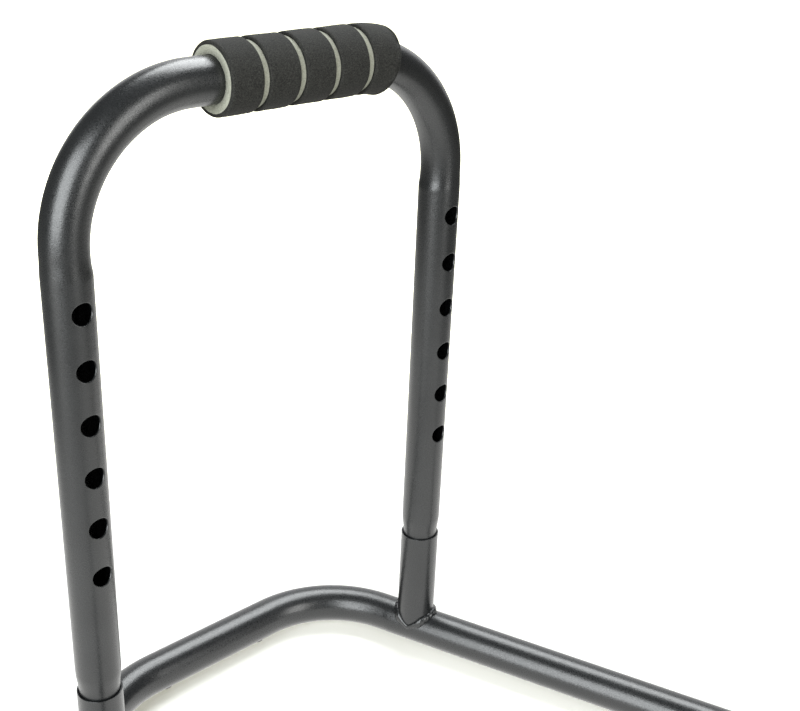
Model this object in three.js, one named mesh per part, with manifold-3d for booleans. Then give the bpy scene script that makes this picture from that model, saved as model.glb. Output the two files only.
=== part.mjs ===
// Bed assist rail: a U-shaped handle hoop with a foam grip, plugged into two sockets that are welded
// to a splayed base. The base slides under a mattress and the hoop stands beside it as a handhold.
// Millimetres, +Z up. The origin is on the floor under the centre of the whole rail.
// +X runs along the handle bar and +Y points away from the bed, towards the closed end of the base.
import * as THREE from 'three';
import { mergeVertices } from 'three/addons/utils/BufferGeometryUtils.js';
import Module from 'manifold-3d';

// Driving dimensions
const TUBE_RADIUS = 12.7; // 1 inch tube
const TUBE_WALL = 1.2;
const BASE_TUBE_RADIUS = 13.25;
const BEND_RADIUS = 75.4; // one bending die forms the hoop and the base
const LEG_SPACING = 259.6; // between the axes of the two legs
const HANDLE_RISE = 424.5; // from the base axis up to the axis of the handle bar
const CLOSED_END_SETBACK = 75.5; // from the hoop plane back to the axis of the closed end
const SIDE_SPLAY = THREE.MathUtils.degToRad(20); // each side runs outwards by this much
const SIDE_LENGTH = 437.5; // from the hoop plane to the open tube end, along the side

const HOLES_PER_LEG = 6;
const HOLE_RADIUS = 6;
const HOLE_PITCH = 31.2;
const HOLE_TURN = THREE.MathUtils.degToRad(4.4); // the holes face this far to the right of square
const TOP_HOLE_RISE = 321.2; // above the base axis

const SOCKET_RISE = 81; // rim of a socket above the base axis
const SOCKET_RADIUS = 13.2;
const SOCKET_WALL = 1;
const PLUG_RADIUS = 11.9; // swaged lower end of a leg
const PLUG_RISE = 20; // lower end of a plug above the base axis
const SHOULDER_LENGTH = 14; // taper from the full tube down to the plug
const SHOULDER_GAP = 1; // the taper starts this far above the socket rim

const GRIP_START = -41; // along the handle bar, from its middle
const BAND_COUNT = 5;
const BAND_PITCH = 24;
const BAND_LENGTH = 20.2;
const BAND_RADIUS = 19.7;
const CORE_RADIUS = 17.8;

const BUTTON_RADIUS = 4.4;
const BUTTON_RISE = 50; // above the base axis
const BUTTON_PROUD = 3.5; // dome height outside the socket
const BUTTON_HOLE_RADIUS = 4.9;
const LEAF_INSET = 1.4; // between a spring leaf and the wall of the plug

const BEAD_RADIUS = 3.4;
const BEAD_OFFSET = 0.8; // from the socket wall out to the middle of the bead

const FOOT_RADIUS = 4.8;
const FOOT_HEIGHT = 3;
const FOOT_FLAT_RADIUS = 2.4;
const FOOT_STEM_RADIUS = 2.4;
const FOOT_HOLE_RADIUS = 2.8;
const REAR_FOOT_OFFSET = 40; // each side of the middle of the closed end
const FRONT_FOOT_INSET = 30; // back from the open tube end

const GAP = 0.3; // clearance kept between touching pieces
const TUBE_SIDES = 24;
const SMALL_SIDES = 16;
const BEND_STEPS = 8;

// Derived dimensions
const BASE_AXIS_Z = FOOT_HEIGHT + BASE_TUBE_RADIUS;
const HANDLE_Z = BASE_AXIS_Z + HANDLE_RISE;
const LEG_X = LEG_SPACING / 2;
const SOCKET_TOP_Z = BASE_AXIS_Z + SOCKET_RISE;
const SHOULDER_Z = SOCKET_TOP_Z + SHOULDER_GAP;
const BUTTON_Z = BASE_AXIS_Z + BUTTON_RISE;
const SOCKET_BORE_RADIUS = SOCKET_RADIUS - SOCKET_WALL;
const PLUG_BORE_RADIUS = PLUG_RADIUS - TUBE_WALL;
const UP = new THREE.Vector3(0, 0, 1);

const paintedSteel = new THREE.MeshStandardMaterial({ color: 0x3c3e3f, roughness: 0.42, metalness: 0.35 });
const blackFoam = new THREE.MeshStandardMaterial({ color: 0x2b2b29, roughness: 0.95, metalness: 0 });
const greyFoam = new THREE.MeshStandardMaterial({ color: 0x9b9e8c, roughness: 0.95, metalness: 0 });
const springSteel = new THREE.MeshStandardMaterial({ color: 0xa9abab, roughness: 0.3, metalness: 0.9 });
const blackPlastic = new THREE.MeshStandardMaterial({ color: 0x1c1c1c, roughness: 0.6, metalness: 0 });
const blackRubber = new THREE.MeshStandardMaterial({ color: 0x202020, roughness: 0.8, metalness: 0 });

const wasm = await Module();
wasm.setup();

function toSolid(geometry) {
  const bare = geometry.clone();
  bare.deleteAttribute('normal');
  bare.deleteAttribute('uv');
  const merged = mergeVertices(bare, 1e-4);
  const vertProperties = new Float32Array(merged.attributes.position.array);
  const triVerts = new Uint32Array(merged.index.array);
  return new wasm.Manifold(new wasm.Mesh({ numProp: 3, vertProperties, triVerts }));
}

function toGeometry(solid) {
  const mesh = solid.getMesh();
  const geometry = new THREE.BufferGeometry();
  geometry.setAttribute('position', new THREE.BufferAttribute(mesh.vertProperties, 3));
  geometry.setIndex(new THREE.BufferAttribute(mesh.triVerts, 1));
  geometry.computeVertexNormals();
  return geometry;
}

function cutAll(geometry, cutters) {
  let solid = toSolid(geometry);
  for (const cutter of cutters) solid = solid.subtract(toSolid(cutter));
  return toGeometry(solid);
}

function circle(radius) {
  const slice = (2 * Math.PI) / TUBE_SIDES;
  const point = (_, i) => new THREE.Vector2(radius * Math.cos(i * slice), radius * Math.sin(i * slice));
  return Array.from({ length: TUBE_SIDES }, point);
}

// The section of a tube wall
function ring(outerRadius, innerRadius) {
  const shape = new THREE.Shape(circle(outerRadius));
  shape.holes.push(new THREE.Path(circle(innerRadius).reverse()));
  return shape;
}

// A rod of the given radius between two points.
function rod(from, to, radius, sides) {
  const axis = to.clone().sub(from);
  const geometry = new THREE.CylinderGeometry(radius, radius, axis.length(), sides);
  const turn = new THREE.Quaternion().setFromUnitVectors(new THREE.Vector3(0, 1, 0), axis.normalize());
  geometry.applyQuaternion(turn);
  const middle = from.clone().add(to).multiplyScalar(0.5);
  return geometry.translate(middle.x, middle.y, middle.z);
}

// A solid of revolution about Z, from [radius, z] points.
function turned(profile, sides) {
  const points = profile.map(([radius, z]) => new THREE.Vector2(radius, z));
  return new THREE.LatheGeometry(points, sides).rotateX(Math.PI / 2);
}

// A centreline of straights and bends, sampled only at its own stations.
class Centreline extends THREE.Curve {
  constructor(stations) {
    super();
    this.stations = stations;
  }

  getPoint(t) {
    const last = this.stations.length - 1;
    const station = t * last;
    const i = Math.min(Math.floor(station), last - 1);
    return this.stations[i].clone().lerp(this.stations[i + 1], station - i);
  }

  // at a station the tangent halves the angle between its neighbours
  getTangent(t) {
    const last = this.stations.length - 1;
    const i = Math.round(t * last);
    const before = this.stations[Math.max(i - 1, 0)];
    const after = this.stations[Math.min(i + 1, last)];
    const into = this.stations[i].clone().sub(before).normalize();
    const out = after.clone().sub(this.stations[i]).normalize();
    return into.add(out).normalize();
  }

  getUtoTmapping(u) {
    return u;
  }
}

// Stations of a bend: centre plus radius * (a cos, b sin) from one angle to another.
function bend(centre, a, b, from, to) {
  return Array.from({ length: BEND_STEPS + 1 }, (_, i) => {
    const angle = from + ((to - from) * i) / BEND_STEPS;
    const spoke = a.clone().multiplyScalar(Math.cos(angle)).addScaledVector(b, Math.sin(angle));
    return centre.clone().addScaledVector(spoke, BEND_RADIUS);
  });
}

function sweep(stations, outerRadius, innerRadius) {
  return new THREE.ExtrudeGeometry(ring(outerRadius, innerRadius), {
    steps: stations.length - 1,
    extrudePath: new Centreline(stations),
    curveSegments: 1,
    bevelEnabled: false,
  });
}

const mirrored = (points) => points.map((p) => new THREE.Vector3(-p.x, p.y, p.z)).reverse();

// Handle hoop

const barHalfLength = LEG_X - BEND_RADIUS;
const hoopBendCentre = new THREE.Vector3(barHalfLength, 0, HANDLE_Z - BEND_RADIUS);

function hoopStations() {
  const shoulderSteps = 4;
  const shoulder = Array.from({ length: shoulderSteps + 1 }, (_, i) => {
    const rise = (SHOULDER_LENGTH * i) / shoulderSteps;
    return new THREE.Vector3(LEG_X, 0, SHOULDER_Z + rise);
  });
  const plugEnd = new THREE.Vector3(LEG_X, 0, BASE_AXIS_Z + PLUG_RISE);
  const corner = bend(hoopBendCentre, new THREE.Vector3(1, 0, 0), UP, 0, Math.PI / 2);
  const rightHalf = [plugEnd, ...shoulder, ...corner];
  return [...rightHalf, ...mirrored(rightHalf)];
}

// Draws a leg in below its shoulder, as swaging does: the outer wall and the bore each to its radius.
function swage(geometry) {
  const position = geometry.attributes.position;
  for (let i = 0; i < position.count; i += 1) {
    const rise = (position.getZ(i) - SHOULDER_Z) / SHOULDER_LENGTH;
    const draw = 1 - THREE.MathUtils.smoothstep(rise, 0, 1);
    const legX = Math.sign(position.getX(i)) * LEG_X;
    const x = position.getX(i) - legX;
    const y = position.getY(i);
    const radius = Math.hypot(x, y);
    if (draw === 0 || radius > 2 * TUBE_RADIUS) continue;
    const scale = (radius - draw * (TUBE_RADIUS - PLUG_RADIUS)) / radius;
    position.setXYZ(i, legX + x * scale, y * scale, position.getZ(i));
  }
  return geometry;
}

// A drill runs from inside a leg out through one wall.
function buttonHole(side) {
  const from = new THREE.Vector3(side * (LEG_X + PLUG_BORE_RADIUS / 2), 0, BUTTON_Z);
  const to = new THREE.Vector3(side * (LEG_X + 2 * TUBE_RADIUS), 0, BUTTON_Z);
  return rod(from, to, BUTTON_HOLE_RADIUS, SMALL_SIDES);
}

function legHole(side, index) {
  const z = BASE_AXIS_Z + TOP_HOLE_RISE - index * HOLE_PITCH;
  const from = new THREE.Vector3(side * LEG_X, 0, z);
  const out = new THREE.Vector3(Math.sin(HOLE_TURN), -Math.cos(HOLE_TURN), 0);
  return rod(from, from.clone().addScaledVector(out, 2 * TUBE_RADIUS), HOLE_RADIUS, SMALL_SIDES);
}

function handleHoop() {
  const tube = swage(sweep(hoopStations(), TUBE_RADIUS, TUBE_RADIUS - TUBE_WALL));
  const cutters = [buttonHole(-1), buttonHole(1)];
  for (const side of [-1, 1]) {
    for (let index = 0; index < HOLES_PER_LEG; index += 1) cutters.push(legHole(side, index));
  }
  return cutAll(tube, cutters);
}

// Foam grip: a grey core with black bands round it, following the bar onto the start of the bend

function barPoint(s) {
  if (s <= barHalfLength) return new THREE.Vector3(s, 0, HANDLE_Z);
  const angle = (s - barHalfLength) / BEND_RADIUS;
  const x = barHalfLength + BEND_RADIUS * Math.sin(angle);
  return new THREE.Vector3(x, 0, HANDLE_Z - BEND_RADIUS * (1 - Math.cos(angle)));
}

function sleeve(start, end, outerRadius, innerRadius) {
  const stations = [start];
  const stretch = 6;
  if (start < barHalfLength && end > barHalfLength) stations.push(barHalfLength);
  for (let s = Math.max(start, barHalfLength) + stretch; s < end - 1; s += stretch) stations.push(s);
  stations.push(end);
  return toGeometry(toSolid(sweep(stations.map(barPoint), outerRadius, innerRadius)));
}

function gripCore() {
  const length = (BAND_COUNT - 1) * BAND_PITCH + BAND_LENGTH;
  return sleeve(GRIP_START, GRIP_START + length, CORE_RADIUS, TUBE_RADIUS + 2 * GAP);
}

function gripBand(index) {
  const start = GRIP_START + index * BAND_PITCH;
  return sleeve(start, start + BAND_LENGTH, BAND_RADIUS, CORE_RADIUS + GAP);
}

// Base tube: closed end, two bends and two splayed sides

const sideDirection = new THREE.Vector3(Math.sin(SIDE_SPLAY), -Math.cos(SIDE_SPLAY), 0);
const sideNormal = new THREE.Vector3(Math.cos(SIDE_SPLAY), Math.sin(SIDE_SPLAY), 0);

// A point on the right side's axis, at a distance along it from the hoop plane.
function sidePoint(distance) {
  return new THREE.Vector3(LEG_X, 0, BASE_AXIS_Z).addScaledVector(sideDirection, distance);
}

function baseStations() {
  const centreY = CLOSED_END_SETBACK - BEND_RADIUS;
  const bendStartY = centreY + BEND_RADIUS * Math.sin(SIDE_SPLAY);
  const bendStart = sidePoint(-bendStartY / Math.cos(SIDE_SPLAY));
  const centre = bendStart.clone().addScaledVector(sideNormal, -BEND_RADIUS);
  const toX = new THREE.Vector3(1, 0, 0);
  const corner = bend(centre, toX, new THREE.Vector3(0, 1, 0), SIDE_SPLAY, Math.PI / 2);
  const rightHalf = [sidePoint(SIDE_LENGTH), ...corner];
  return [...rightHalf, ...mirrored(rightHalf)];
}

function footPlaces() {
  const front = sidePoint(SIDE_LENGTH - FRONT_FOOT_INSET);
  return {
    rear_left: new THREE.Vector3(-REAR_FOOT_OFFSET, CLOSED_END_SETBACK, 0),
    rear_right: new THREE.Vector3(REAR_FOOT_OFFSET, CLOSED_END_SETBACK, 0),
    front_left: new THREE.Vector3(-front.x, front.y, 0),
    front_right: new THREE.Vector3(front.x, front.y, 0),
  };
}

function baseTube() {
  const tube = sweep(baseStations(), BASE_TUBE_RADIUS, BASE_TUBE_RADIUS - TUBE_WALL);
  const holes = Object.values(footPlaces()).map((floor) => {
    const inside = floor.clone().setZ(BASE_AXIS_Z - BASE_TUBE_RADIUS / 3);
    return rod(floor, inside, FOOT_HOLE_RADIUS, SMALL_SIDES);
  });
  return cutAll(tube, holes);
}

// The space that a straight piece of base tube takes, grown by the usual gap.
function sideClearance(side) {
  const reach = 30;
  const solid = rod(sidePoint(-reach), sidePoint(reach), BASE_TUBE_RADIUS + 2 * GAP, TUBE_SIDES);
  return side > 0 ? solid : flip(solid);
}

// Mirrors a geometry across the YZ plane and turns its faces the right way out again.
function flip(geometry) {
  const mirror = geometry.index ? geometry.toNonIndexed() : geometry.clone();
  mirror.scale(-1, 1, 1);
  const position = mirror.attributes.position;
  for (let i = 0; i < position.count; i += 3) {
    const a = new THREE.Vector3().fromBufferAttribute(position, i);
    const b = new THREE.Vector3().fromBufferAttribute(position, i + 1);
    position.setXYZ(i, b.x, b.y, b.z);
    position.setXYZ(i + 1, a.x, a.y, a.z);
  }
  return mirror;
}

// Sockets: short tubes with a saddle cut, standing on the sides of the base

function socket(side) {
  const bottom = BASE_AXIS_Z + 2; // the notch cuts it back to the base tube
  const wall = [
    [SOCKET_BORE_RADIUS, bottom],
    [SOCKET_RADIUS, bottom],
    [SOCKET_RADIUS, SOCKET_TOP_Z],
    [SOCKET_BORE_RADIUS, SOCKET_TOP_Z],
    [SOCKET_BORE_RADIUS, bottom],
  ];
  const stub = turned(wall, TUBE_SIDES).translate(side * LEG_X, 0, 0);
  return cutAll(stub, [sideClearance(side), buttonHole(side)]);
}

// Weld beads: a fillet that runs round the foot of a socket, over the base tube

function weldBead(side) {
  const torus = new THREE.TorusGeometry(SOCKET_RADIUS + BEAD_OFFSET, BEAD_RADIUS, 8, TUBE_SIDES);
  const position = torus.attributes.position;
  for (let i = 0; i < position.count; i += 1) {
    const angle = Math.atan2(position.getY(i), position.getX(i));
    const across = SOCKET_RADIUS * Math.cos(angle - SIDE_SPLAY);
    const crest = Math.sqrt(BASE_TUBE_RADIUS ** 2 - across ** 2);
    position.setZ(i, position.getZ(i) + BASE_AXIS_Z + crest);
  }
  const floor = new THREE.Vector3(LEG_X, 0, 0);
  const socketSpace = rod(floor, floor.clone().setZ(SOCKET_TOP_Z), SOCKET_RADIUS + GAP, TUBE_SIDES);
  const bead = cutAll(torus.translate(LEG_X, 0, 0), [socketSpace, sideClearance(1)]);
  return side > 0 ? bead : flip(bead);
}

// Snap locks: a folded strip spring inside each plug, and the button that it pushes out

function springClip(side) {
  const thickness = 0.8;
  const width = 7;
  const leafX = PLUG_BORE_RADIUS - LEAF_INSET;
  const leafTop = 8; // heights from the button's axis
  const leafBottom = -6;
  const foldRadius = 2.2;
  const foldZ = -21.8;
  const outline = new THREE.Shape();
  outline.moveTo(leafX, leafTop);
  outline.lineTo(leafX, leafBottom);
  outline.lineTo(foldRadius, foldZ);
  outline.absarc(0, foldZ, foldRadius, 0, -Math.PI, true);
  outline.lineTo(-leafX, leafBottom);
  outline.lineTo(-leafX, leafTop);
  outline.lineTo(-leafX + thickness, leafTop);
  outline.lineTo(-leafX + thickness, leafBottom);
  outline.lineTo(-foldRadius + thickness, foldZ);
  outline.absarc(0, foldZ, foldRadius - thickness, Math.PI, 2 * Math.PI, false);
  outline.lineTo(leafX - thickness, leafBottom);
  outline.lineTo(leafX - thickness, leafTop);
  const strip = new THREE.ExtrudeGeometry(outline, { depth: width, curveSegments: 6, bevelEnabled: false });
  strip.translate(0, 0, -width / 2).rotateX(Math.PI / 2);
  return toGeometry(toSolid(strip.translate(side * LEG_X, 0, BUTTON_Z)));
}

function snapButton(side) {
  const back = PLUG_BORE_RADIUS - LEAF_INSET + GAP;
  const domeSteps = 5;
  const profile = [[0, back], [BUTTON_RADIUS, back]];
  for (let step = 0; step < domeSteps; step += 1) {
    const angle = ((Math.PI / 2) * step) / domeSteps;
    profile.push([BUTTON_RADIUS * Math.cos(angle), SOCKET_RADIUS + BUTTON_PROUD * Math.sin(angle)]);
  }
  profile.push([0, SOCKET_RADIUS + BUTTON_PROUD]);
  const button = turned(profile, SMALL_SIDES).rotateY((side * Math.PI) / 2);
  return button.translate(side * LEG_X, 0, BUTTON_Z);
}

// Feet: push-in domes under the base tube

function foot(floor) {
  const barb = FOOT_STEM_RADIUS + 1;
  const wallTop = FOOT_HEIGHT + TUBE_WALL + 2 * GAP;
  const profile = [
    [0, 0],
    [FOOT_FLAT_RADIUS, 0],
    [FOOT_RADIUS * 0.86, 0.9],
    [FOOT_RADIUS, FOOT_HEIGHT - 0.4],
    [FOOT_RADIUS, FOOT_HEIGHT + 1],
    [FOOT_STEM_RADIUS, FOOT_HEIGHT + 1],
    [FOOT_STEM_RADIUS, wallTop],
    [barb, wallTop + 0.4],
    [FOOT_STEM_RADIUS * 0.7, wallTop + 3],
    [0, wallTop + 3],
  ];
  const along = floor.y > 0 ? new THREE.Vector3(1, 0, 0) : sideDirection.clone();
  if (floor.y < 0) along.x *= Math.sign(floor.x);
  const axis = floor.clone().setZ(BASE_AXIS_Z);
  const from = axis.clone().addScaledVector(along, -BASE_TUBE_RADIUS);
  const to = axis.clone().addScaledVector(along, BASE_TUBE_RADIUS);
  const outside = toSolid(rod(from, to, BASE_TUBE_RADIUS + GAP, TUBE_SIDES * 2));
  const inside = toSolid(rod(from, to, BASE_TUBE_RADIUS - TUBE_WALL - GAP, TUBE_SIDES * 2));
  const stem = toSolid(rod(floor, axis, FOOT_STEM_RADIUS + GAP / 6, SMALL_SIDES));
  const wall = outside.subtract(inside).subtract(stem);
  return toGeometry(toSolid(turned(profile, SMALL_SIDES).translate(floor.x, floor.y, 0)).subtract(wall));
}

// End plugs: domed caps pushed into the open tube ends

function endPlug(side) {
  const insert = BASE_TUBE_RADIUS - TUBE_WALL - GAP;
  const profile = [
    [0, -16],
    [insert - 1.2, -16],
    [insert, -13],
    [insert, GAP],
    [BASE_TUBE_RADIUS, GAP],
    [BASE_TUBE_RADIUS, 2],
    [BASE_TUBE_RADIUS * 0.9, 4.2],
    [BASE_TUBE_RADIUS * 0.6, 5.8],
    [0, 6.4],
  ];
  const outwards = sideDirection.clone();
  outwards.x *= side;
  const plug = turned(profile, TUBE_SIDES);
  plug.applyQuaternion(new THREE.Quaternion().setFromUnitVectors(UP, outwards));
  const end = sidePoint(SIDE_LENGTH);
  return plug.translate(side * end.x, end.y, end.z);
}

// Assembly

const rail = new THREE.Group();

function add(name, geometry, material, parent) {
  const mesh = new THREE.Mesh(geometry, material);
  mesh.name = name;
  parent.add(mesh);
}

const base = new THREE.Group();
const handle = new THREE.Group();
add('base_tube', baseTube(), paintedSteel, base);
add('handle_hoop', handleHoop(), paintedSteel, handle);
add('grip_core', gripCore(), greyFoam, handle);
for (let index = 0; index < BAND_COUNT; index += 1) {
  add(`grip_band_${index + 1}`, gripBand(index), blackFoam, handle);
}
for (const [name, side] of [['left', -1], ['right', 1]]) {
  add(`socket_${name}`, socket(side), paintedSteel, base);
  add(`weld_bead_${name}`, weldBead(side), paintedSteel, base);
  add(`end_plug_${name}`, endPlug(side), blackPlastic, base);
  add(`spring_clip_${name}`, springClip(side), springSteel, handle);
  add(`snap_button_${name}`, snapButton(side), springSteel, handle);
}
for (const [name, floor] of Object.entries(footPlaces())) {
  add(`foot_${name}`, foot(floor), blackRubber, base);
}
rail.add(base, handle);

const bounds = new THREE.Box3().setFromObject(rail);
rail.position.y = -(bounds.min.y + bounds.max.y) / 2;

export default rail;
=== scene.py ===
import math

import bmesh
import bpy
from mathutils import Matrix, Vector, noise


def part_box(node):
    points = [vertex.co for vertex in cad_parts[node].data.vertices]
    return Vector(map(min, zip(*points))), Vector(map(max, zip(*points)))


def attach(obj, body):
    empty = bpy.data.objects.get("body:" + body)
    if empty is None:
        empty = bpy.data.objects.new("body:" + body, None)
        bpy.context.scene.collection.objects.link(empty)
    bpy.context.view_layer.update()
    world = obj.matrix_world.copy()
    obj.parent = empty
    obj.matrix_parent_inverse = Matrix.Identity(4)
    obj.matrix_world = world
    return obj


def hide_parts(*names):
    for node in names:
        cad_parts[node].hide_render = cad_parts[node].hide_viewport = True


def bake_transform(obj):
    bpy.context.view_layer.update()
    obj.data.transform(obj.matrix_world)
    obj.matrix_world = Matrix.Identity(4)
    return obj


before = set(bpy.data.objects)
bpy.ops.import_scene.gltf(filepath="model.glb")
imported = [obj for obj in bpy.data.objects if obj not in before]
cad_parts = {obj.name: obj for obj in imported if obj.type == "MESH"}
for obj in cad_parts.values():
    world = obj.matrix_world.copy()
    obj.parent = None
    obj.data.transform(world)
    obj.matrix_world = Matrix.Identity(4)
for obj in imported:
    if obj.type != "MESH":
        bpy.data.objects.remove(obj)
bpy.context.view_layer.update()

# --- Camera -------------------------------------------------------------------------------------
# It stands in front of the rail and to its left, a little above the handle, and looks down across
# the hoop.

base_low, base_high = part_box("base_tube")
socket_low, socket_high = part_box("socket_right")
leg_x = (socket_low.x + socket_high.x) / 2
hoop_y = (socket_low.y + socket_high.y) / 2
base_z = (base_low.z + base_high.z) / 2

view_turn = math.radians(44.17)
view_dip = math.radians(24.9)
view_roll = math.radians(2.56)
stand = Vector((-0.3973, -0.5141, 0.5605))

camera = bpy.data.objects.new("camera", bpy.data.cameras.new("camera"))
bpy.context.scene.collection.objects.link(camera)
bpy.context.scene.camera = camera
camera.matrix_world = (
    Matrix.Translation(Vector((0, hoop_y, base_z)) + stand)
    @ Matrix.Rotation(-view_turn, 4, "Z")
    @ Matrix.Rotation(math.pi / 2 - view_dip, 4, "X")
    @ Matrix.Rotation(view_roll, 4, "Z")
)
camera.data.sensor_width = 36
camera.data.lens = 54.4
camera.data.clip_start = 0.01

# --- Base tube ----------------------------------------------------------------------------------
# One length of round steel tube, bent twice on a die and left splayed, with its open ends at the
# front. It is drilled underneath for the feet, and powder coated charcoal after the welding.

tube_wall = 0.0012
bend_radius = 0.0754
columns = 48
tolerance = 1e-6
clamp_ahead = 0.011
clamp_length = 0.006
run_out = 0.03
side_splay = math.radians(20)
side_length = 0.4375
front_foot_inset = 0.03
foot_hole_radius = 0.0028
base_flattening = 0.0003
base_edge = 0.0003
base_radius = (base_high.z - base_low.z) / 2
closed_end_y = base_high.y - base_radius
rear_foot_x = sum(p.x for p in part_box("foot_rear_right")) / 2


def flat_skin(girth, runs):
    """A flat sheet of tube wall: its girth lies along X, and runs of (length, rows) along Z."""
    bm = bmesh.new()
    line = bmesh.ops.create_vert(bm, co=(-girth / 2, 0, 0))["vert"]
    step = (girth / columns, 0, 0)
    bmesh.ops.spin(bm, geom=line, axis=(0, 0, 1), dvec=step, angle=0, steps=columns)
    line = bm.edges[:]
    for length, rows in runs:
        step = (0, 0, length / rows)
        grown = bmesh.ops.spin(bm, geom=line, axis=(0, 0, 1), dvec=step, angle=0, steps=rows)
        line = [g for g in grown["geom_last"] if isinstance(g, bmesh.types.BMEdge)]
    return bm


def edges_within(verts):
    inside = set(verts)
    return list({e for v in verts for e in v.link_edges if inside.issuperset(e.verts)})


def drill(bm, across, height, half_width, half_height, cells, girth, row):
    """Opens an oval hole in a flat skin. The cells of a square block round it, centred on the
    nearest column, make way for rings that lead from the block's edge to the hole."""
    column = girth / columns
    middle = column * round(across / column)
    slack = 1.001
    reach = Vector((cells * column, cells * row)) * slack

    def in_block(point):
        return abs(point.x - middle) <= reach.x and abs(point.z - height) <= reach.y

    block = [f for f in bm.faces if in_block(f.calc_center_median())]
    bmesh.ops.delete(bm, geom=block, context="FACES")
    rim = [e for e in bm.edges if e.is_boundary and all(in_block(v.co) for v in e.verts)]
    flat = Matrix.Rotation(math.pi / 2, 4, "X") @ Matrix.Diagonal((half_width, half_height, 1, 1))
    # the circle stands off the sheet until it is rolled, so that the bridge can't turn over
    spot = Matrix.Translation((across, half_height, height)) @ flat
    hole = bmesh.ops.create_circle(bm, segments=8 * cells, radius=1, matrix=spot)["verts"]
    bridge = bmesh.ops.bridge_loops(bm, edges=rim + edges_within(hole))
    bmesh.ops.subdivide_edges(bm, edges=bridge["edges"], cuts=2, use_grid_fill=True)


def hole_half_width(hole_radius, girth, radius):
    """Half a drilled hole's width on the flat skin, for the radius the tube is drawn to there."""
    return girth / (2 * math.pi) * math.asin(hole_radius / radius)


def roll(bm, girth, facing, radius_at):
    """Rolls a flat skin into a tube whose middle column faces an angle, and closes its seam."""
    for vert in bm.verts:
        angle = facing + 2 * math.pi * vert.co.x / girth
        radius = radius_at(vert.co.z, angle)
        vert.co = (radius * math.cos(angle), radius * math.sin(angle), vert.co.z)
    bmesh.ops.remove_doubles(bm, verts=bm.verts, dist=tolerance)


def walked(course, distance):
    """The point and heading at a distance along a course: a start, a heading, the bends' axis,
    and runs of (length, turn)."""
    point, heading, axis, runs = course
    for length, turn in runs:
        step = min(distance, length)
        if turn:
            bent = Matrix.Rotation(turn * step / length, 3, axis)
            centre = point + axis.cross(heading) * length / turn
            point = centre + bent @ (point - centre)
            heading = bent @ heading
        else:
            point = point + heading * step
        distance -= step
        if distance <= 0:
            break
    return point, heading


def lay_along(bm, course):
    """Bends a straight mesh, whose length lies along Z and inner side faces +X, round a course."""
    axis = course[2]
    for vert in bm.verts:
        point, heading = walked(course, vert.co.z)
        vert.co = point + axis.cross(heading) * vert.co.x + axis * vert.co.y


def smooth_step(value):
    value = max(0.0, min(1.0, value))
    return value * value * (3 - 2 * value)


def pressed(distance, bend_start, bend_end):
    """How far a bend's die has flattened the tube there, from 0 to 1. The clamp starts it sharply
    on the straight before the bend, and it fades out over the last of the bend."""
    clamped = smooth_step((distance - bend_start + clamp_ahead) / clamp_length)
    return clamped * smooth_step((bend_end - distance) / run_out)


def finished(name, bm, body, material):
    """Turns a bmesh into a smooth piece with a material and, if named, a body to ride."""
    bmesh.ops.recalc_face_normals(bm, faces=bm.faces)
    for face in bm.faces:
        face.smooth = True
    mesh = bpy.data.meshes.new(name)
    bm.to_mesh(mesh)
    bm.free()
    piece = bpy.data.objects.new(name, mesh)
    bpy.context.scene.collection.objects.link(piece)
    mesh.materials.append(material)
    if body:
        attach(piece, body)
    return piece


def give_wall(piece, thickness, offset=-1):
    wall = piece.modifiers.new("wall", "SOLIDIFY")
    wall.thickness = thickness
    wall.offset = offset


def ease_edges(piece, width):
    ease = piece.modifiers.new("eased edges", "BEVEL")
    ease.width = width
    ease.segments = 2
    ease.limit_method = "ANGLE"
    ease.angle_limit = math.radians(50)
    ease.harden_normals = True


def grain_group():
    """Noise of a stated scale, put out as a height for bumps and as a mask from 0 to 1."""
    tree = bpy.data.node_groups.new("grain", "ShaderNodeTree")
    for name, kind in (("Vector", "Vector"), ("Scale", "Float"), ("Detail", "Float")):
        tree.interface.new_socket(name, in_out="INPUT", socket_type=f"NodeSocket{kind}")
    for name in ("Height", "Mask"):
        tree.interface.new_socket(name, in_out="OUTPUT", socket_type="NodeSocketFloat")
    source = tree.nodes.new("NodeGroupInput")
    sink = tree.nodes.new("NodeGroupOutput")
    speckle = tree.nodes.new("ShaderNodeTexNoise")
    spread = tree.nodes.new("ShaderNodeMapRange")
    spread.inputs["From Min"].default_value = 0.35
    spread.inputs["From Max"].default_value = 0.65
    for name in ("Vector", "Scale", "Detail"):
        tree.links.new(source.outputs[name], speckle.inputs[name])
    tree.links.new(speckle.outputs["Fac"], sink.inputs["Height"])
    tree.links.new(speckle.outputs["Fac"], spread.inputs["Value"])
    tree.links.new(spread.outputs["Result"], sink.inputs["Mask"])
    return tree


def new_finish(name):
    """A material with its node tree, its shader and the object's own coordinates."""
    material = bpy.data.materials.new(name)
    material.use_nodes = True
    tree = material.node_tree
    place = tree.nodes.new("ShaderNodeTexCoord").outputs["Object"]
    return material, tree, tree.nodes["Principled BSDF"], place


def add_grain(tree, place, scale, detail):
    node = tree.nodes.new("ShaderNodeGroup")
    node.node_tree = grain
    node.inputs["Scale"].default_value = scale
    node.inputs["Detail"].default_value = detail
    tree.links.new(place, node.inputs["Vector"])
    return node.outputs


def add_bump(tree, height, strength, distance, under=None):
    bump = tree.nodes.new("ShaderNodeBump")
    bump.inputs["Strength"].default_value = strength
    bump.inputs["Distance"].default_value = distance
    tree.links.new(height, bump.inputs["Height"])
    if under is not None:
        tree.links.new(under, bump.inputs["Normal"])
    return bump.outputs["Normal"]


def add_tint(tree, mask, dark, light):
    ramp = tree.nodes.new("ShaderNodeValToRGB")
    ramp.color_ramp.elements[0].color = (*dark, 1)
    ramp.color_ramp.elements[1].color = (*light, 1)
    tree.links.new(mask, ramp.inputs["Fac"])
    return ramp.outputs["Color"]


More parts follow.
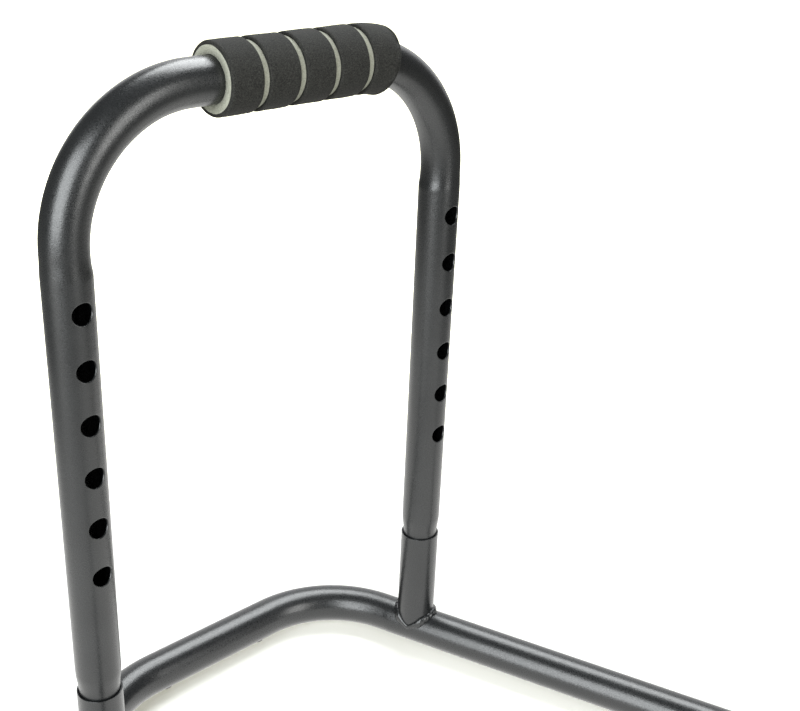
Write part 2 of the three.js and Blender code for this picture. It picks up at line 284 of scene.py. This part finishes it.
def add_range(tree, mask, low, high):
    spread = tree.nodes.new("ShaderNodeMapRange")
    spread.inputs["To Min"].default_value = low
    spread.inputs["To Max"].default_value = high
    tree.links.new(mask, spread.inputs["Value"])
    return spread.outputs["Result"]


def powder_coat():
    """Charcoal powder coat: semi-gloss, finely textured, with a slow orange peel under it."""
    material, tree, shader, place = new_finish("powder_coat")
    texture = add_grain(tree, place, 1500, 2)
    peel = add_grain(tree, place, 260, 1)
    bloom = add_grain(tree, place, 30, 2)
    tint = add_tint(tree, bloom["Mask"], (0.0050, 0.0056, 0.0060), (0.0085, 0.0092, 0.0096))
    tree.links.new(tint, shader.inputs["Base Color"])
    rough = add_range(tree, texture["Mask"], 0.25, 0.37)
    tree.links.new(rough, shader.inputs["Roughness"])
    shader.inputs["Specular IOR Level"].default_value = 0.6
    slow = add_bump(tree, peel["Height"], 0.10, 0.0005)
    fine = add_bump(tree, texture["Height"], 0.30, 0.00015, slow)
    tree.links.new(fine, shader.inputs["Normal"])
    return material


grain = grain_group()
paint = powder_coat()

# the base's course starts at its left open end; its bends' axis points down
side_heading = Vector((math.sin(side_splay), math.cos(side_splay), 0))
side_turn = math.pi / 2 - side_splay
past_hoop = (closed_end_y - hoop_y - bend_radius * (1 - math.sin(side_splay))) / side_heading.y
straight_side = side_length + past_hoop
base_bend = bend_radius * side_turn
corner_x = leg_x - past_hoop * side_heading.x - bend_radius * math.cos(side_splay)
left_end = Vector((-leg_x, hoop_y, base_z)) - side_heading * side_length
base_runs = [(straight_side, 0), (base_bend, side_turn), (2 * corner_x, 0), (base_bend, side_turn)]
base_course = (left_end, side_heading, Vector((0, 0, -1)), base_runs + [(straight_side, 0)])

foot_cells = 3
base_girth = 2 * math.pi * base_radius
foot_row = base_girth / columns
foot_block = 2 * foot_cells * foot_row
to_front_foot = front_foot_inset - foot_block / 2
to_rear_foot = corner_x - rear_foot_x - foot_block / 2
clamp_reach = 0.012
foot_rows = (foot_block, 2 * foot_cells)
side_rows = [(base_bend, 28), (clamp_reach, 10)]
side_rows += [(straight_side - clamp_reach - to_front_foot - foot_block, 44)]
side_rows += [foot_rows, (to_front_foot, 4)]
back_rows = [(to_rear_foot, 3), foot_rows]
between_feet = (2 * (corner_x - to_rear_foot - foot_block), 12)
base_rows = side_rows[::-1] + back_rows + [between_feet] + back_rows[::-1] + side_rows
base_skin = flat_skin(base_girth, base_rows)

base_length = 2 * (straight_side + base_bend + corner_x)
rear_foot_at = base_length / 2 - rear_foot_x
foot_hole_width = hole_half_width(foot_hole_radius, base_girth, base_radius)
for distance in (front_foot_inset, rear_foot_at):
    for height in (distance, base_length - distance):
        drill(
            base_skin, 0, height, foot_hole_width, foot_hole_radius,
            foot_cells, base_girth, foot_row,
        )


def base_radius_at(distance, angle):
    inner_side = max(0.0, math.cos(angle))
    from_end = min(distance, base_length - distance)
    flattened = pressed(from_end, straight_side, straight_side + base_bend)
    return base_radius - base_flattening * flattened * inner_side**2


roll(base_skin, base_girth, math.pi / 2, base_radius_at)
lay_along(base_skin, base_course)
base_tube = finished("base_tube_bent", base_skin, "base", paint)
give_wall(base_tube, tube_wall)
ease_edges(base_tube, base_edge)
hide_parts("base_tube")

# --- Sockets ------------------------------------------------------------------------------------
# Two stubs of tube that take the legs. Each is notched to sit on a side of the base, and drilled on
# its outer face for the snap button.

socket_radius = (socket_high.x - socket_low.x) / 2
socket_girth = 2 * math.pi * socket_radius
socket_height = socket_high.z - base_z
socket_wall = 0.001
socket_edge = 0.0002
button_hole_radius = 0.0049
button_row = 0.0015
button_rows = 16
button_block = button_rows * button_row
button_cells = 6
button_z = sum(p.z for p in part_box("snap_button_right")) / 2


def base_crest(x, y, side):
    """Height of the base tube's skin over its axis, at a place beside the foot of a leg."""
    across = side * x * math.cos(side_splay) + y * math.sin(side_splay)
    return math.sqrt(max(0.0, base_radius**2 - across**2))


# the notch follows the base's skin, with its two low points cut back round
notch_blunting = 0.0032
up_to_button = button_z - base_z
notch_reach = up_to_button - button_block / 2
socket_rows = [(notch_reach, 12), (button_block, button_rows)]
socket_rows += [(socket_height - up_to_button - button_block / 2, 5)]
socket_hole_width = hole_half_width(button_hole_radius, socket_girth, socket_radius)
for side, name in ((-1, "left"), (1, "right")):
    socket_skin = flat_skin(socket_girth, socket_rows)
    drill(
        socket_skin, 0, up_to_button, socket_hole_width, button_hole_radius,
        button_cells, socket_girth, button_row,
    )
    outer_side = 0 if side > 0 else math.pi
    roll(socket_skin, socket_girth, outer_side, lambda height, angle: socket_radius)
    for vert in socket_skin.verts:
        notch = math.hypot(base_crest(vert.co.x, vert.co.y, side), notch_blunting)
        squeeze = max(0.0, 1 - vert.co.z / notch_reach)
        vert.co.z += notch * squeeze
    foot_of_leg = (side * leg_x, hoop_y, base_z)
    bmesh.ops.translate(socket_skin, verts=socket_skin.verts, vec=foot_of_leg)
    socket = finished(f"socket_{name}_notched", socket_skin, "base", paint)
    give_wall(socket, socket_wall)
    ease_edges(socket, socket_edge)
    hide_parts(f"socket_{name}")

# --- Weld beads ---------------------------------------------------------------------------------
# A hand-laid bead runs round the foot of each socket. It is wide and lumpy over the crown of the
# base tube, stands highest part way down, and is a thin smooth fillet at the two low points.

bead_steps = 216
bead_sides = 20
bead_radius = 0.003
bead_least_out = -0.0006
low_point_fill = 0.0034
ripples = 30
ripple_size = 0.06
lump_size = 0.36
for side, name in ((-1, "left"), (1, "right")):
    bead = bmesh.new()
    upright = Matrix.Translation((socket_radius, 0, 0)) @ Matrix.Rotation(math.pi / 2, 4, "X")
    loop = bmesh.ops.create_circle(
        bead, segments=bead_sides, radius=bead_radius, matrix=upright
    )["verts"]
    bmesh.ops.spin(
        bead, geom=loop + edges_within(loop), axis=(0, 0, 1), angle=2 * math.pi,
        steps=bead_steps, use_merge=True,
    )
    for vert in bead.verts:
        angle = math.atan2(vert.co.y, vert.co.x)
        out = vert.co.xy.length - socket_radius
        round_foot = Vector((math.cos(angle), math.sin(angle), 0))
        across = side * round_foot.x * math.cos(side_splay) + round_foot.y * math.sin(side_splay)
        # crown is 1 over the base's crown and 0 at the low points, and corner peaks between them
        crown = 1 - across**2
        ripple = math.sin(ripples * angle + 700 * out + 2 * noise.noise(round_foot * 2))
        lump = noise.noise(round_foot * 3.1 + Vector((0, 0, side * 5)))
        swell = (ripple_size * ripple + lump_size * lump) * crown
        corner = math.sin(math.pi * min(1.0, 1.25 * crown)) ** 2
        crest = base_crest(socket_radius * round_foot.x, socket_radius * round_foot.y, side)
        fill = low_point_fill * (1 - crown) ** 3
        out = max(bead_least_out, out * (0.35 + 0.62 * crown + 0.30 * corner + swell))
        rise = vert.co.z * (0.62 + 0.45 * min(1.0, 1.6 * crown) + 0.55 * corner + swell)
        spot = Vector((side * leg_x, hoop_y, base_z + crest + fill + rise))
        vert.co = spot + round_foot * (socket_radius + out)
    weld = finished(f"weld_bead_{name}_laid", bead, "base", paint)
    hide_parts(f"weld_bead_{name}")

# --- Feet ---------------------------------------------------------------------------------------
# Four small rubber domes keep the tube off the floor. Each has a stem that is pushed through a
# hole in the underside, with a barb that opens behind the wall.


def rubber():
    material, tree, shader, place = new_finish("foot_rubber")
    bloom = add_grain(tree, place, 700, 3)
    tint = add_tint(tree, bloom["Mask"], (0.008, 0.008, 0.008), (0.018, 0.018, 0.0175))
    tree.links.new(tint, shader.inputs["Base Color"])
    tree.links.new(add_range(tree, bloom["Mask"], 0.55, 0.75), shader.inputs["Roughness"])
    shader.inputs["Specular IOR Level"].default_value = 0.25
    tree.links.new(add_bump(tree, bloom["Height"], 0.2, 0.0002), shader.inputs["Normal"])
    return material


def turn_profile(points, steps):
    """A solid of revolution about Z, from (radius, height) points that run from axis to axis."""
    bm = bmesh.new()
    verts = [bmesh.ops.create_vert(bm, co=(r, 0, z))["vert"][0] for r, z in points]
    edges = [bm.edges.new(pair) for pair in zip(verts, verts[1:])]
    bmesh.ops.spin(
        bm, geom=verts + edges, axis=(0, 0, 1), angle=2 * math.pi, steps=steps, use_merge=True
    )
    bmesh.ops.remove_doubles(bm, verts=bm.verts, dist=tolerance)
    return bm


foot_radius = 0.0048
foot_height = base_low.z
stem_radius = 0.0024
barb_radius = 0.0033
foot_finish = rubber()
wall_top = foot_height + tube_wall
dome = [(0, 0), (0.0024, 0), (0.0031, 0.00015), (0.0037, 0.00045), (0.0042, 0.0009)]
dome += [(0.0045, 0.0014), (0.0047, 0.002), (foot_radius, 0.0026), (foot_radius, foot_height)]
stem = [(stem_radius, foot_height), (stem_radius, wall_top + 0.0004)]
stem += [(barb_radius, wall_top + 0.0007), (barb_radius, wall_top + 0.001)]
stem += [(0.0018, wall_top + 0.0033), (0, wall_top + 0.0035)]
for name in ("rear_left", "rear_right", "front_left", "front_right"):
    low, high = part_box(f"foot_{name}")
    centre = (low + high) / 2
    bm = turn_profile(dome + stem, 48)
    heading = Vector((1, 0, 0)) if name.startswith("rear") else side_heading.copy()
    if name == "front_right":
        heading.x = -heading.x
    # the dome's shoulder is saddled to the tube that lies on it
    for vert in bm.verts:
        across = vert.co.x * heading.y - vert.co.y * heading.x
        if abs(vert.co.z - foot_height) < tolerance:
            vert.co.z += base_radius - math.sqrt(base_radius**2 - across**2)
    bmesh.ops.translate(bm, verts=bm.verts, vec=(centre.x, centre.y, 0))
    foot = finished(f"foot_{name}_dome", bm, "base", foot_finish)
    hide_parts(f"foot_{name}")

# --- End plugs ----------------------------------------------------------------------------------
# Moulded black caps close the open tube ends: a domed head over the cut edge, and a ribbed shank
# that grips the bore.


def plug_plastic():
    material, tree, shader, place = new_finish("plug_plastic")
    spark = add_grain(tree, place, 1800, 2)
    tint = add_tint(tree, spark["Mask"], (0.012, 0.012, 0.013), (0.020, 0.020, 0.021))
    tree.links.new(tint, shader.inputs["Base Color"])
    tree.links.new(add_range(tree, spark["Mask"], 0.38, 0.52), shader.inputs["Roughness"])
    tree.links.new(add_bump(tree, spark["Height"], 0.35, 0.00012), shader.inputs["Normal"])
    return material


plug_finish = plug_plastic()
bore = base_radius - tube_wall - 0.0001
shank = bore - 0.0012
shank_length = 0.016
rib_count = 4
rib_pitch = 0.0035
seat = 0.00005
rim_height = 0.0016
head_rise = 0.0048
quarter_steps = 12
plug_profile = [(0, -shank_length), (bore - 0.0016, -shank_length), (shank, -0.0155)]
for rib in range(rib_count):
    root = -0.0145 + rib_pitch * rib
    plug_profile += [(shank, root), (bore, root + 0.0006), (bore, root + 0.0012)]
    plug_profile += [(shank, root + 0.0024)]
plug_profile += [(shank, seat), (base_radius - 0.0003, seat)]
plug_profile += [(base_radius - 0.0001, 0.00015), (base_radius, 0.0004)]
plug_profile += [(base_radius, rim_height)]
for step in range(1, quarter_steps + 1):
    angle = math.pi / 2 * step / quarter_steps
    head_radius = base_radius * math.cos(angle) ** 0.75
    plug_profile.append((head_radius, rim_height + head_rise * math.sin(angle)))
plug_profile[-1] = (0, rim_height + head_rise)
for side, name in ((-1, "left"), (1, "right")):
    outwards = Vector((side * side_heading.x, -side_heading.y, 0))
    end = Vector((side * -left_end.x, left_end.y, base_z))
    bm = turn_profile(plug_profile, 64)
    facing = outwards.to_track_quat("Z", "Y").to_matrix().to_4x4()
    bmesh.ops.transform(bm, matrix=Matrix.Translation(end) @ facing, verts=bm.verts)
    plug = finished(f"end_plug_{name}_moulded", bm, "base", plug_finish)
    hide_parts(f"end_plug_{name}")

# --- Handle hoop --------------------------------------------------------------------------------
# One length of one inch tube, bent into an inverted U on the same die. Each leg is drilled with
# six holes through its front wall, and its lower end is swaged down to plug into the socket.

leg_holes = 6
hole_radius = 0.006
hole_turn = math.radians(4.4)
hole_pitch = 0.0312
top_hole_z = base_z + 0.3212
plug_radius = 0.0119
shoulder_z = socket_high.z + 0.001
shoulder_length = 0.014
hoop_low, hoop_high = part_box("handle_hoop")
tube_radius = (hoop_high.y - hoop_low.y) / 2
tube_girth = 2 * math.pi * tube_radius
leg_radius = tube_radius + 0.0004
hoop_flattening = 0.0005
clamp_mark = 0.00005
clamp_mark_ahead = 0.0115
clamp_mark_width = 0.0016
hoop_edge = 0.00045

plug_z = hoop_low.z
bar_z = hoop_high.z - tube_radius
leg_length = bar_z - bend_radius - plug_z
hoop_bend = bend_radius * math.pi / 2
bar_half = leg_x - bend_radius
bend_run = (hoop_bend, math.pi / 2)
hoop_runs = [(leg_length, 0), bend_run, (2 * bar_half, 0), bend_run, (leg_length, 0)]
left_foot = Vector((-leg_x, hoop_y, plug_z))
hoop_course = (left_foot, Vector((0, 0, 1)), Vector((0, 1, 0)), hoop_runs)
hoop_length = 2 * (leg_length + hoop_bend + bar_half)

hole_rows = 18
hole_cells = 6
hole_row = hole_pitch / hole_rows
to_button = button_z - plug_z
to_shoulder = shoulder_z - plug_z
to_holes = top_hole_z - plug_z - (leg_holes - 0.5) * hole_pitch
leg_rows = [(to_button - button_block / 2, 6), (button_block, button_rows)]
leg_rows += [(to_shoulder - to_button - button_block / 2, 5), (shoulder_length, 14)]
leg_rows += [(to_holes - to_shoulder - shoulder_length, 10)]
leg_rows += [(leg_holes * hole_pitch, hole_rows * leg_holes)]
leg_rows += [(leg_length - to_holes - leg_holes * hole_pitch, 13)]
leg_rows += [(hoop_bend, 42), (bar_half, 12)]
hoop_skin = flat_skin(tube_girth, leg_rows + leg_rows[::-1])

hole_width = hole_half_width(hole_radius, tube_girth, tube_radius)
button_width = hole_half_width(button_hole_radius, tube_girth, plug_radius)
hole_aside = hole_turn * tube_radius
for index in range(leg_holes):
    distance = top_hole_z - plug_z - index * hole_pitch
    for across, height in ((hole_aside, distance), (-hole_aside, hoop_length - distance)):
        drill(
            hoop_skin, across, height, hole_width, hole_radius, hole_cells, tube_girth, hole_row
        )
for height in (to_button, hoop_length - to_button):
    drill(
        hoop_skin, -tube_girth / 4, height, button_width, button_hole_radius,
        button_cells, tube_girth, button_row,
    )


def hoop_radius_at(distance, angle):
    """The legs are a little fuller than the bar and are swaged below the shoulder. The die
    flattens the inner side of the bends, and its clamp leaves a faint ridge at their start."""
    from_end = min(distance, hoop_length - distance)
    into_shoulder = smooth_step((from_end - to_shoulder) / shoulder_length)
    swaged = (leg_radius - plug_radius) * (1 - into_shoulder)
    inner_side = max(0.0, math.cos(angle) + 0.3) / 1.3
    bent = pressed(from_end, leg_length, leg_length + hoop_bend)
    flattened = hoop_flattening * bent * inner_side**2
    into_bend = smooth_step((from_end - leg_length + clamp_reach) / clamp_reach)
    full = (leg_radius - tube_radius) * (1 - into_bend)
    from_mark = (from_end - leg_length + clamp_mark_ahead) / clamp_mark_width
    ridge = clamp_mark * math.exp(-(from_mark**2)) * inner_side
    return tube_radius + full - swaged - flattened + ridge


roll(hoop_skin, tube_girth, -math.pi / 2, hoop_radius_at)
lay_along(hoop_skin, hoop_course)
hoop = finished("handle_hoop_bent", hoop_skin, "handle", paint)
give_wall(hoop, tube_wall)
ease_edges(hoop, hoop_edge)
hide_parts("handle_hoop")

# --- Grip core ----------------------------------------------------------------------------------
# The inner layer of the foam grip: a light grey closed-cell sleeve, pushed over the bar and a
# little way round the far bend. It shows at the near end and down in the four grooves.

grip_before_middle = 0.041
grip_start = leg_length + hoop_bend + bar_half - grip_before_middle
band_count = 5
band_pitch = 0.024
band_length = 0.0202
core_radius = 0.0178
core_inset = 0.003
core_corner = 0.0004
ring_spacing = 0.0024
pore_scale = 1500
grip_end = grip_start + (band_count - 1) * band_pitch + band_length


def foam(name, dark, light):
    """Closed-cell foam: fine skinned pores, matt, with a soft mottle in its colour."""
    material, tree, shader, place = new_finish(name)
    pores = add_grain(tree, place, pore_scale, 3)
    mottle = add_grain(tree, place, pore_scale / 6, 2)
    tint = add_tint(tree, pores["Mask"], dark, light)
    tree.links.new(tint, shader.inputs["Base Color"])
    tree.links.new(add_range(tree, pores["Mask"], 0.8, 0.97), shader.inputs["Roughness"])
    shader.inputs["Specular IOR Level"].default_value = 0.25
    slow = add_bump(tree, mottle["Height"], 0.15, 0.0012)
    tree.links.new(add_bump(tree, pores["Height"], 0.55, 0.0005, slow), shader.inputs["Normal"])
    return material


def foam_sleeve(start, end, inner, outer, soft_start, soft_end):
    """A straight foam sleeve along Z, whose two outer corners are rounded."""
    bm = bmesh.new()
    steps = max(4, round((end - start) / ring_spacing))
    corners = [(inner, start), (outer, start)]
    corners += [(outer, start + (end - start) * i / steps) for i in range(1, steps + 1)]
    corners += [(inner, end)]
    corners += [(inner, end + (start - end) * i / steps) for i in range(1, steps)]
    verts = [bmesh.ops.create_vert(bm, co=(r, 0, z))["vert"][0] for r, z in corners]
    outline = [bm.edges.new(pair) for pair in zip(verts, verts[1:] + verts[:1])]
    bmesh.ops.spin(
        bm, geom=verts + outline, axis=(0, 0, 1), angle=2 * math.pi, steps=96, use_merge=True
    )

    def on_corner(point, height):
        return abs(point.z - height) < tolerance and point.xy.length > outer - 1e-5

    for height, softness in ((start, soft_start), (end, soft_end)):
        corner = [e for e in bm.edges if all(on_corner(v.co, height) for v in e.verts)]
        bmesh.ops.bevel(
            bm, geom=corner, offset=softness, segments=6, profile=0.5, affect="EDGES", material=-1
        )
    return bm


def press_unevenly(bm, depth, grain_size, seed):
    """Cut and squeezed foam is never quite true, so the skin is moved a little in and out."""
    bm.normal_update()
    moves = [noise.noise(v.co / grain_size + Vector((seed, 0, 0))) * depth for v in bm.verts]
    for vert, move in zip(bm.verts, moves):
        vert.co += vert.normal * move


grey_foam = foam("grey_foam_cells", (0.215, 0.218, 0.178), (0.300, 0.305, 0.252))
core = foam_sleeve(
    grip_start + 0.0001, grip_end - core_inset, tube_radius + 0.00005, core_radius,
    core_corner, core_corner,
)
press_unevenly(core, 0.00008, 0.004, 3)
lay_along(core, hoop_course)
grip_core = finished("grip_core_sleeve", core, "handle", grey_foam)
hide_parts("grip_core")

# --- Grip bands ---------------------------------------------------------------------------------
# The outer layer of the grip is black foam, cut through in four places so that five bands are
# left on the grey sleeve. The cut edges are ground round, and the far end most of all.

black_foam = foam("black_foam_cells", (0.0035, 0.0035, 0.003), (0.028, 0.028, 0.025))
near_edge = 0.0012
groove_edge = 0.0015
far_edge = 0.0030
for index in range(band_count):
    start = grip_start + index * band_pitch
    end = start + band_length
    low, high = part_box(f"grip_band_{index + 1}")
    band_radius = (high.y - low.y) / 2
    if index < band_count - 1:
        inner = core_radius - 0.0003
        band = foam_sleeve(start, end, inner, band_radius, near_edge, groove_edge)
    else:
        # the last band covers the end of the grey sleeve and reaches down to the bar
        inner = tube_radius + 0.0001
        band = foam_sleeve(start, end - 0.0003, inner, band_radius, near_edge, far_edge)
    press_unevenly(band, 0.00022, 0.009, index * 7.3)
    lay_along(band, hoop_course)
    piece = finished(f"grip_band_{index + 1}_foam", band, "handle", black_foam)
    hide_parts(f"grip_band_{index + 1}")

# --- Snap locks ---------------------------------------------------------------------------------
# A folded strip of spring steel sits inside each plug and pushes a domed button out through the
# leg and the socket.


def plated_steel():
    material, tree, shader, place = new_finish("plated_steel")
    smear = add_grain(tree, place, 400, 2)
    brushed = add_grain(tree, place, 2200, 2)
    tint = add_tint(tree, smear["Mask"], (0.52, 0.53, 0.54), (0.66, 0.66, 0.65))
    tree.links.new(tint, shader.inputs["Base Color"])
    shader.inputs["Metallic"].default_value = 1
    tree.links.new(add_range(tree, brushed["Mask"], 0.20, 0.34), shader.inputs["Roughness"])
    tree.links.new(add_bump(tree, brushed["Height"], 0.12, 0.0001), shader.inputs["Normal"])
    return material


plated = plated_steel()
strip_thickness = 0.0008
strip_width = 0.007
leaf_x = plug_radius - tube_wall - 0.0014
fold_radius = 0.0022
fold_z = -0.0218
button_tip = socket_radius + 0.0035
button_radius = 0.0044

# half of the strip's middle line, from the leaf's top down to the fold, and then all of it
middle = leaf_x - strip_thickness / 2
fold_middle = fold_radius - strip_thickness / 2
leaf_foot = -0.006
leaf = [(middle, 0.008), (middle, 0.0035), (middle, -0.001), (middle, leaf_foot)]
for step in range(1, 6):
    down = step / 5
    leaf.append((middle + (fold_middle - middle) * down, leaf_foot + (fold_z - leaf_foot) * down))
strip_path = list(leaf)
for step in range(1, 8):
    angle = -math.pi / 8 * step
    strip_path.append((fold_middle * math.cos(angle), fold_z + fold_middle * math.sin(angle)))
strip_path += [(-x, z) for x, z in reversed(leaf)]

button_profile = [(0, leaf_x + 0.00005), (button_radius - 0.0002, leaf_x + 0.00005)]
button_profile += [(button_radius, leaf_x + 0.00025), (button_radius, socket_radius)]
for step in range(1, quarter_steps + 1):
    angle = math.pi / 2 * step / quarter_steps
    rise = (button_tip - socket_radius) * math.sin(angle)
    button_profile.append((button_radius * math.cos(angle), socket_radius + rise))
button_profile[-1] = (0, button_tip)

for side, name in ((-1, "left"), (1, "right")):
    strip = bmesh.new()
    near_y = -strip_width / 2
    verts = [bmesh.ops.create_vert(strip, co=(x, near_y, z))["vert"][0] for x, z in strip_path]
    edges = [strip.edges.new(pair) for pair in zip(verts, verts[1:])]
    bmesh.ops.spin(
        strip, geom=verts + edges, axis=(0, 0, 1), dvec=(0, strip_width / 4, 0), angle=0, steps=4
    )
    bmesh.ops.translate(strip, verts=strip.verts, vec=(side * leg_x, hoop_y, button_z))
    spring = finished(f"spring_clip_{name}_strip", strip, None, plated)
    give_wall(spring, strip_thickness, 0)
    ease_edges(spring, 0.00015)
    root = Vector((side * (leg_x + fold_radius), hoop_y, button_z))
    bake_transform(spring)
    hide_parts(f"spring_clip_{name}")

    bm = turn_profile(button_profile, 48)
    facing = Matrix.Rotation(side * math.pi / 2, 4, "Y")
    spot = Matrix.Translation((side * leg_x, hoop_y, button_z))
    bmesh.ops.transform(bm, matrix=spot @ facing, verts=bm.verts)
    button = finished(f"snap_button_{name}_dome", bm, f"button_{name}", plated)
    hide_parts(f"snap_button_{name}")

# --- Studio -------------------------------------------------------------------------------------
# Pale paper lies under a large soft box beyond the rail, with two upright soft boxes on the
# camera's side of it. The rest of the room is dim, so that the paint shows its gloss.

room_centre = Vector((0, hoop_y, 0.3))


def seen_from_camera(tree, vector):
    """Turns a direction or place about Z, so that X is to the camera's right and Y is ahead."""
    turned = tree.nodes.new("ShaderNodeVectorRotate")
    turned.rotation_type = "Z_AXIS"
    turned.inputs["Angle"].default_value = view_turn
    parts = tree.nodes.new("ShaderNodeSeparateXYZ")
    tree.links.new(vector, turned.inputs["Vector"])
    tree.links.new(turned.outputs["Vector"], parts.inputs["Vector"])
    return parts.outputs


def add_fade(tree, value, start, end, low, high):
    fade = tree.nodes.new("ShaderNodeMapRange")
    fade.interpolation_type = "SMOOTHSTEP"
    fade.inputs["From Min"].default_value = start
    fade.inputs["From Max"].default_value = end
    fade.inputs["To Min"].default_value = low
    fade.inputs["To Max"].default_value = high
    tree.links.new(value, fade.inputs["Value"])
    return fade.outputs["Result"]


def add_math(tree, operation, first, second=0.0):
    node = tree.nodes.new("ShaderNodeMath")
    node.operation = operation
    for socket, value in zip(node.inputs, (first, second)):
        if isinstance(value, float):
            socket.default_value = value
        else:
            tree.links.new(value, socket)
    return node.outputs["Value"]


def floor_paper():
    """Overlit pale paper that also glows by itself as painted light. In reflections it is a painted
    glow, brightest under the rail, fading away from it, and glowing again below the two side boxes.
    The light that it throws on things is dulled."""
    material, tree, shader, place = new_finish("floor_paper")
    shader.inputs["Base Color"].default_value = (0.75, 0.75, 0.745, 1)
    shader.inputs["Roughness"].default_value = 0.9
    shader.inputs["Specular IOR Level"].default_value = 0.0
    # painted light: the paper glows by itself with a warm tint, least near the rail, where this
    # glow tints the shadows, and up to seven times as much far off
    shader.inputs["Emission Color"].default_value = (0.23, 0.225, 0.16, 1)
    spot = seen_from_camera(tree, place)
    squares = [add_math(tree, "POWER", spot[axis], 2.0) for axis in ("X", "Y")]
    painted_glow = add_fade(tree, add_math(tree, "ADD", *squares), 0.12, 0.5, 1.0, 7.0)
    tree.links.new(painted_glow, shader.inputs["Emission Strength"])
    ray = tree.nodes.new("ShaderNodeLightPath").outputs
    dull = tree.nodes.new("ShaderNodeBsdfDiffuse")
    dull.inputs["Color"].default_value = (0.05, 0.05, 0.055, 1)
    thrown = tree.nodes.new("ShaderNodeMixShader")
    tree.links.new(add_math(tree, "MULTIPLY", ray["Is Diffuse Ray"], 0.72), thrown.inputs["Fac"])
    tree.links.new(shader.outputs["BSDF"], thrown.inputs[1])
    tree.links.new(dull.outputs["BSDF"], thrown.inputs[2])
    aside = add_math(tree, "ABSOLUTE", add_math(tree, "ADD", spot["X"], 0.1))
    glow = add_fade(tree, aside, 0.30, 0.90, 1.8, 0.22)
    glow = add_math(tree, "MULTIPLY", glow, add_fade(tree, spot["Y"], -0.95, -0.15, 0.25, 1.0))
    glow = add_math(tree, "MULTIPLY", glow, add_fade(tree, spot["Y"], 0.30, 1.10, 1.0, 0.5))
    # below the left and right side boxes: the middle of each glow, and how far it reaches
    for across, ahead, reach in ((-0.98, -0.84, 0.62), (1.0, -0.76, 0.52)):
        near_x = add_math(tree, "POWER", add_math(tree, "SUBTRACT", spot["X"], across), 2.0)
        near_y = add_math(tree, "POWER", add_math(tree, "SUBTRACT", spot["Y"], ahead), 2.0)
        away = add_math(tree, "SQRT", add_math(tree, "ADD", near_x, near_y))
        glow = add_math(tree, "ADD", glow, add_fade(tree, away, 0.1, reach, 2.3, 0.0))
    # painted reflection: glossy rays see this glow map in place of the lit paper
    mirrored = tree.nodes.new("ShaderNodeEmission")
    mirrored.inputs["Color"].default_value = (1, 1, 0.98, 1)
    tree.links.new(glow, mirrored.inputs["Strength"])
    seen = tree.nodes.new("ShaderNodeMixShader")
    tree.links.new(ray["Is Glossy Ray"], seen.inputs["Fac"])
    tree.links.new(thrown.outputs["Shader"], seen.inputs[1])
    tree.links.new(mirrored.outputs["Emission"], seen.inputs[2])
    tree.links.new(seen.outputs["Shader"], tree.nodes["Material Output"].inputs["Surface"])
    return material


floor_reach = 8
sheet = bmesh.new()
bmesh.ops.create_grid(sheet, x_segments=1, y_segments=1, size=floor_reach)
floor_mesh = bpy.data.meshes.new("floor")
sheet.to_mesh(floor_mesh)
sheet.free()
floor = bpy.data.objects.new("floor", floor_mesh)
bpy.context.scene.collection.objects.link(floor)
floor_mesh.materials.append(floor_paper())

world = bpy.data.worlds.new("studio")
bpy.context.scene.world = world
world.use_nodes = True
room = world.node_tree
direction = room.nodes.new("ShaderNodeTexCoord").outputs["Generated"]
# the room is bright only beyond the rail, and the camera sees all of it as just over white
ahead = add_fade(room, seen_from_camera(room, direction)["Y"], 0.66, 0.86, 0.16, 1.5)
camera_ray = room.nodes.new("ShaderNodeLightPath").outputs["Is Camera Ray"]
in_view = add_math(room, "MULTIPLY", camera_ray, 1.1)
background = room.nodes["Background"]
room.links.new(add_math(room, "MAXIMUM", ahead, in_view), background.inputs["Strength"])
background.inputs["Color"].default_value = (0.97, 0.98, 1.0, 1)


def softbox(name, turn, rise, distance, size, radiance, colour):
    """A soft box seen from the rail at a turn to the right of the camera's line, and a rise."""
    light = bpy.data.lights.new(name, "AREA")
    light.shape = "RECTANGLE"
    light.size, light.size_y = size
    light.energy = radiance * math.pi * light.size * light.size_y
    light.color = colour
    lamp = bpy.data.objects.new(name, light)
    bpy.context.scene.collection.objects.link(lamp)
    bearing = view_turn + math.radians(turn)
    rise = math.radians(rise)
    level = Vector((math.sin(bearing), math.cos(bearing), 0))
    out = level * math.cos(rise) + Vector((0, 0, math.sin(rise)))
    facing = out.to_track_quat("Z", "Y").to_matrix().to_4x4()
    lamp.matrix_world = Matrix.Translation(room_centre + out * distance) @ facing
    lamp.visible_camera = False


softbox("overhead box", 20, 60, 1.7, (1.35, 1.05), 11, (0.96, 0.99, 1.0))
softbox("left box", -155, 18, 1.7, (1.35, 1.6), 9.5, (0.95, 0.985, 1.0))
softbox("right box", 129, 15, 1.7, (0.75, 1.2), 6.5, (1.0, 1.0, 0.98))
bpy.context.scene.view_settings.view_transform = "Standard"
